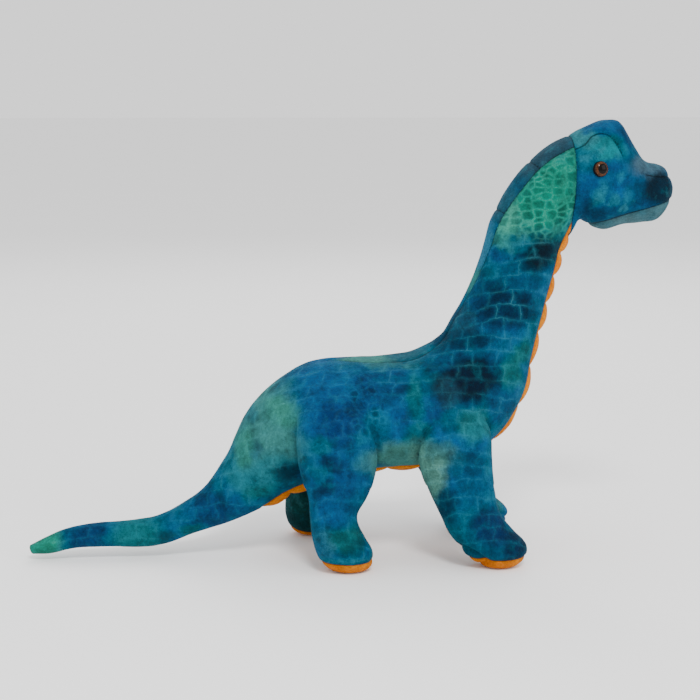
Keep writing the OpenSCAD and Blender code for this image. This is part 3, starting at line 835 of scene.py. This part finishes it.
def panel_pile(name, patches, cells):
    """Dyed pile, either mottled or, with cells, printed with scales that are small on the
    upper neck and on the hip."""
    made, shade = material(name)
    place, seam = cloth(shade)
    height = place.add("SeparateXYZ", None, {0: place}, 2)
    colour = dyed(place, BLUE, TEAL, patches)
    if cells:
        strong = place.noise(30.0, 2.0, 0.5).step(0.40, 0.60)
        upper = height.step(0.226, 0.244)
        edge, _, own = scales(place, NECK_SCALE, 3.0, 0.75)
        colour = (upper * edge.step(0.20, 0.02) * (0.22 + 0.22 * strong)).mix(
            colour, dye(84, 196, 168))
        colour = deepen(colour, upper * edge.step(0.05, 0.28) * (0.14 + 0.28 * own))
        hip = patch(place, 4, 118, 15, 27)
        edge, middle, own = scales(place, HIP_SCALE, 5.0, 0.7)
        colour = deepen(colour, hip * middle.step(0.60, 0.2) * own * 0.6)
        colour = (hip * edge.step(0.16, 0.0) * (0.03 + 0.10 * own)).mix(colour, VEIN)
        lower = (1.0 - upper) * (1.0 - hip)
        strong = (0.35 + 0.65 * strong) * (0.45 + 0.55 * height.step(0.12, 0.17))
        edge, middle, own = bricks(place, *BODY_SCALE)
        colour = deepen(colour, lower * middle * (0.2 + 0.8 * own) * (0.12 + 0.40 * strong))
        colour = (lower * edge.step(3.0, 0.2) * (0.02 + 0.08 * strong)).mix(colour, VEIN)
        broken = place.noise(48.0, 2.0, 0.5).step(0.40, 0.60)
        line = edge.step(0.8, 0.1) * broken * (0.03 + 0.20 * strong)
        colour = (lower * line).mix(colour, VEIN)
    else:
        mottle = stirred(place, 160.0, 0.004).noise(95.0, 3.0, 0.6)
        colour = (mottle.step(0.56, 0.72) * 0.20).mix(colour, VEIN)
    finish_pile(shade, colour, place, seam, (0.1, 0.6, 0.9, 1.0))
    return made


def plain_pile(name, base, other, sheen):
    """Pile of one colour, a little uneven."""
    made, shade = material(name)
    place, seam = cloth(shade)
    colour = place.noise(46.0, 4.0, 0.65).step(0.35, 0.68).mix(base, other)
    finish_pile(shade, colour, place, seam, sheen)
    return made


def eye_plastic():
    """A clear dome over an amber iris with a black pupil and a dark rim."""
    made, shade = material("eye_plastic")
    place = shade.add("TexCoord", None, None, 3)
    disc = shade.attribute("disc", 2)
    streaks = place.noise(900.0, 4.0, 0.7)
    iris = streaks.step(0.3, 0.7).mix(linear(24, 11, 5), linear(92, 52, 26))
    colour = disc.step(0.60, 0.68).mix(linear(2, 2, 2), iris)
    colour = disc.step(0.88, 0.97).mix(colour, linear(20, 12, 9))
    shade.surface({
        "Base Color": colour, "Roughness": 0.02 + 0.03 * streaks,
        "Specular IOR Level": 0.13})
    return made


def washer_plastic():
    """Milky plastic with a faint grain."""
    made, shade = material("washer_plastic")
    place = shade.add("TexCoord", None, None, 3)
    grain = place.noise(600.0, 3.0, 0.6)
    colour = grain.mix(linear(214, 214, 206), linear(236, 236, 230))
    bumped = shade.add("Bump", None, {"Strength": 0.3, "Distance": 0.0001, "Height": grain})
    shade.surface({"Base Color": colour, "Roughness": 0.35 + 0.2 * grain, "Normal": bumped})
    return made


PILES = {
    "dyed_pile": panel_pile("dyed_pile", PATCHES, True),
    "head_pile": panel_pile("head_pile", HEAD_PATCHES, False),
    # The legs' inner sides: darker dye with painted shade.
    "inner_pile_dye_and_shade": panel_pile("inner_pile_dye_and_shade", INNER_DYE_AND_SHADE_PATCHES, False),
    "back_pile": panel_pile("back_pile", BACK_PATCHES, False),
    "chin_pile": plain_pile("chin_pile", CHIN, dye(60, 118, 134), (0.3, 0.7, 0.9, 1.0)),
    "orange_pile": plain_pile("orange_pile", ORANGE, HONEY, (1.0, 0.7, 0.3, 1.0))}

# ---------------------------------------------------------------- covers

def cover(name, shell, pile, nodes, ride=None, bend=None):
    """One sewn piece of the cover, from its part of the skin."""
    mesh = bpy.data.meshes.new(name + "_cover")
    co = shell.values[:, :3] * MM
    mesh.from_pydata(co.tolist(), [], shell.tris.tolist())
    mesh.polygons.foreach_set("use_smooth", np.ones(len(mesh.polygons), bool))
    # The dye and the print stay where they are on the cloth when a joint moves.
    place = mesh.attributes.new("place", "FLOAT_VECTOR", "POINT")
    place.data.foreach_set("vector", co.astype(np.float32).ravel())
    seam = mesh.attributes.new("seam", "FLOAT", "POINT")
    seam.data.foreach_set("value", shell.column("seam").astype(np.float32))
    n = shell.values[:, 3:6]
    n = n / np.maximum(np.linalg.norm(n, axis=1, keepdims=True), 1e-9)
    mesh.normals_split_custom_set_from_vertices(n.tolist())
    mesh.materials.append(PILES[pile])
    piece = placed(name + "_cover", mesh)
    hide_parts(*nodes)
    if bend:
        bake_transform(piece)
    else:
        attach(piece, ride)


def m(*point):
    """A point given in millimetres, in metres."""
    return tuple(c * MM for c in point)


def around(x, z, heading, reach):
    """Two points reach behind and ahead of a joint in the plane of symmetry."""
    h = math.radians(heading)
    dx, dz = reach * math.cos(h), reach * math.sin(h)
    return m(x - dx, 0, z - dz), m(x + dx, 0, z + dz)


# The two bodies that a joint's cloth joins, and a point on each side of the joint.
NECK_BEND = ("torso", "neck", *around(105, 162, 68, 30))
HEAD_BEND = ("neck", "head", *around(139.5, 272, 45, 24))
TAIL_BEND = ("torso", "tail", m(-70, 0, 45), m(-106, 0, 45))
# Two heights on a leg, about its joint.
LEG_BENDS = (m(0, 0, 76), m(0, 0, 28))

rest = whole_skin()
for leg in LEGS:
    limb, rest = rest.split(rest.column(leg))
    part, hand = leg.split("_")
    body = f"{part}_leg_{hand}"
    bend = ("torso", body, *LEG_BENDS)
    sole, limb = limb.split(limb.column("sole"))
    outer, inner = limb.split(limb.column(leg + "_outer"))
    cover(f"{part}_leg_outer_{hand}", outer, "dyed_pile",
          [f"{part}_leg_outer_{hand}", f"{part}_leg_filling_{hand}"], bend=bend)
    cover(f"{part}_leg_inner_{hand}", inner, "inner_pile_dye_and_shade",
          [f"{part}_leg_inner_{hand}"], bend=bend)
    cover(f"{part}_sole_{hand}", sole, "orange_pile",
          [f"{part}_sole_{hand}"], ride=body)

ahead, rest = rest.split(rest.column("neck"))
upper, lower = ahead.split(ahead.column("upper_neck"))
head, upper = upper.split(upper.column("head"))

crown, head = head.split(head.column("crown"))
chin, head = head.split(head.column("chin"))
left, right = head.split(head.column("left"))
cover("crown_gusset", crown, "head_pile", ["crown_gusset", "head_filling"],
      bend=HEAD_BEND)
cover("chin_panel", chin, "chin_pile", ["chin_panel"], bend=HEAD_BEND)
for hand, half in (("left", left), ("right", right)):
    cover(f"head_side_{hand}", half, "head_pile", [f"head_side_{hand}"],
          bend=HEAD_BEND)

for level, part, bend in (("upper", upper, HEAD_BEND), ("lower", lower, NECK_BEND)):
    strip, part = part.split(part.column("back"))
    throat, part = part.split(part.column("belly"))
    left, right = part.split(part.column("left"))
    filling = ["neck_filling"] if level == "lower" else []
    cover(f"neck_back_strip_{level}", strip, "back_pile",
          ["neck_back_strip"] + filling, bend=bend)
    cover(f"throat_strip_{level}", throat, "orange_pile", ["throat_strip"],
          bend=bend)
    for hand, half in (("left", left), ("right", right)):
        cover(f"neck_panel_{hand}_{level}", half, "dyed_pile",
              [f"neck_panel_{hand}"], bend=bend)

strip, rest = rest.split(rest.column("back"))
cover("torso_back_strip", strip, "back_pile", ["torso_back_strip"], ride="torso")
belly, rest = rest.split(rest.column("belly"))
cover("belly_strip", belly, "orange_pile", ["belly_strip"], ride="torso")
tail, rest = rest.split(rest.column("tail"))
left, right = tail.split(tail.column("left"))
cover("tail_panel_left", left, "dyed_pile", ["tail_panel_left", "tail_filling"],
      bend=TAIL_BEND)
cover("tail_panel_right", right, "dyed_pile", ["tail_panel_right"],
      bend=TAIL_BEND)
left, right = rest.split(rest.column("left"))
cover("torso_panel_left", left, "dyed_pile", ["torso_panel_left", "torso_filling"],
      ride="torso")
cover("torso_panel_right", right, "dyed_pile", ["torso_panel_right"], ride="torso")

# ---------------------------------------------------------------- eyes

def eye(hand, side):
    """A domed safety eye on its shank."""
    profile = [(0.0, EYE_H)]
    profile += [(EYE_R * math.sin(math.radians(t)), EYE_H * math.cos(math.radians(t)))
                for t in range(6, 90, 6)] + EYE_BACK
    across = Vector((math.sin(math.radians(EYE_FORWARD)),
                     side * math.cos(math.radians(EYE_FORWARD)),
                     math.sin(math.radians(EYE_UP)))).normalized()
    turn = across.to_track_quat("Z", "Y")
    points, disc = [], []
    for r, h in profile:
        for k in range(EYE_SIDES):
            a = 2 * math.pi * k / EYE_SIDES
            spot = turn @ Vector((r * math.cos(a), r * math.sin(a), h))
            points.append(m(EYE_AT[0] + spot.x, side * EYE_AT[1] + spot.y, EYE_AT[2] + spot.z))
            disc.append(r / EYE_R if h > -0.2 else 1.2)
    faces = []
    for i in range(len(profile) - 1):
        for k in range(EYE_SIDES):
            a, b = i * EYE_SIDES + k, i * EYE_SIDES + (k + 1) % EYE_SIDES
            faces.append((a, a + EYE_SIDES, b + EYE_SIDES, b))
    mesh = bpy.data.meshes.new(f"eye_{hand}")
    mesh.from_pydata(points, [], faces)
    mesh.polygons.foreach_set("use_smooth", np.ones(len(mesh.polygons), bool))
    mesh.attributes.new("disc", "FLOAT", "POINT").data.foreach_set("value", disc)
    whole = bmesh.new()
    whole.from_mesh(mesh)
    bmesh.ops.remove_doubles(whole, verts=whole.verts, dist=1e-6)
    whole.to_mesh(mesh)
    whole.free()
    mesh.materials.append(EYE)
    piece = placed(f"eye_{hand}_dome", mesh)
    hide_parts(f"eye_{hand}")
    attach(piece, "head")


EYE = eye_plastic()
eye("right", -1)
eye("left", 1)
WASHER = washer_plastic()
for hand in ("right", "left"):
    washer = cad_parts[f"eye_washer_{hand}"]
    for place in washer.material_slots:
        place.material = WASHER
    if not washer.material_slots:
        washer.data.materials.append(WASHER)

# ---------------------------------------------------------------- room

# In metres: the floor's half size, and each lamp's name, place, size and power.
FLOOR = 30.0
LAMPS = [
    ("key", (0.1, -1.5, 1.9), 0.5, 36), ("fill", (1.5, -1.1, 0.9), 1.2, 10),
    ("rim", (0.2, 1.6, 1.5), 1.2, 14)]
LAMPS_AIM = Vector((0, 0, 0.15))
DAYLIGHT = 1.3
# Where the camera stands round its target, in degrees and metres, and its lens in mm.
CAMERA_TURN = -6
CAMERA_RISE = 9
CAMERA_DISTANCE = 1.15
CAMERA_TARGET = Vector((-0.0012, 0, 0.151))
CAMERA_LENS = 81


def room():
    """A white floor that reaches out of sight, even daylight and three soft lamps."""
    mesh = bpy.data.meshes.new("floor")
    mesh.from_pydata(
        [(-FLOOR, -FLOOR, 0), (FLOOR, -FLOOR, 0), (FLOOR, FLOOR, 0), (-FLOOR, FLOOR, 0)],
        [], [(0, 1, 2, 3)])
    floor = placed("floor", mesh)
    made, shade = material("floor_paint")
    place = shade.add("TexCoord", None, None, 3)
    grain = place.noise(3.0, 3.0, 0.5)
    shade.surface({
        "Base Color": grain.mix((0.92, 0.92, 0.92, 1), (0.94, 0.94, 0.94, 1)),
        "Roughness": 0.9, "Specular IOR Level": 0.1})
    mesh.materials.append(made)

    world = bpy.data.worlds.new("studio")
    world.use_nodes = True
    sky = world.node_tree.nodes["Background"]
    sky.inputs[0].default_value = (1, 1, 1, 1)
    sky.inputs[1].default_value = DAYLIGHT
    bpy.context.scene.world = world

    for name, at, size, power in LAMPS:
        lamp = bpy.data.lights.new(name, "AREA")
        lamp.size, lamp.energy = size, power
        light = placed(name, lamp)
        light.location = at
        light.rotation_euler = (LAMPS_AIM - Vector(at)).to_track_quat("-Z", "Y").to_euler()


def camera():
    """The camera, on the toy's right side and a little above it."""
    lens = bpy.data.cameras.new("camera")
    lens.lens = CAMERA_LENS
    lens.sensor_width = 36
    shooter = placed("camera", lens)
    a, e = math.radians(CAMERA_TURN), math.radians(CAMERA_RISE)
    back = Vector((math.sin(a) * math.cos(e), -math.cos(a) * math.cos(e), math.sin(e)))
    shooter.location = CAMERA_TARGET + back * CAMERA_DISTANCE
    shooter.rotation_euler = (-back).to_track_quat("-Z", "Y").to_euler()
    bpy.context.scene.camera = shooter


room()
camera()
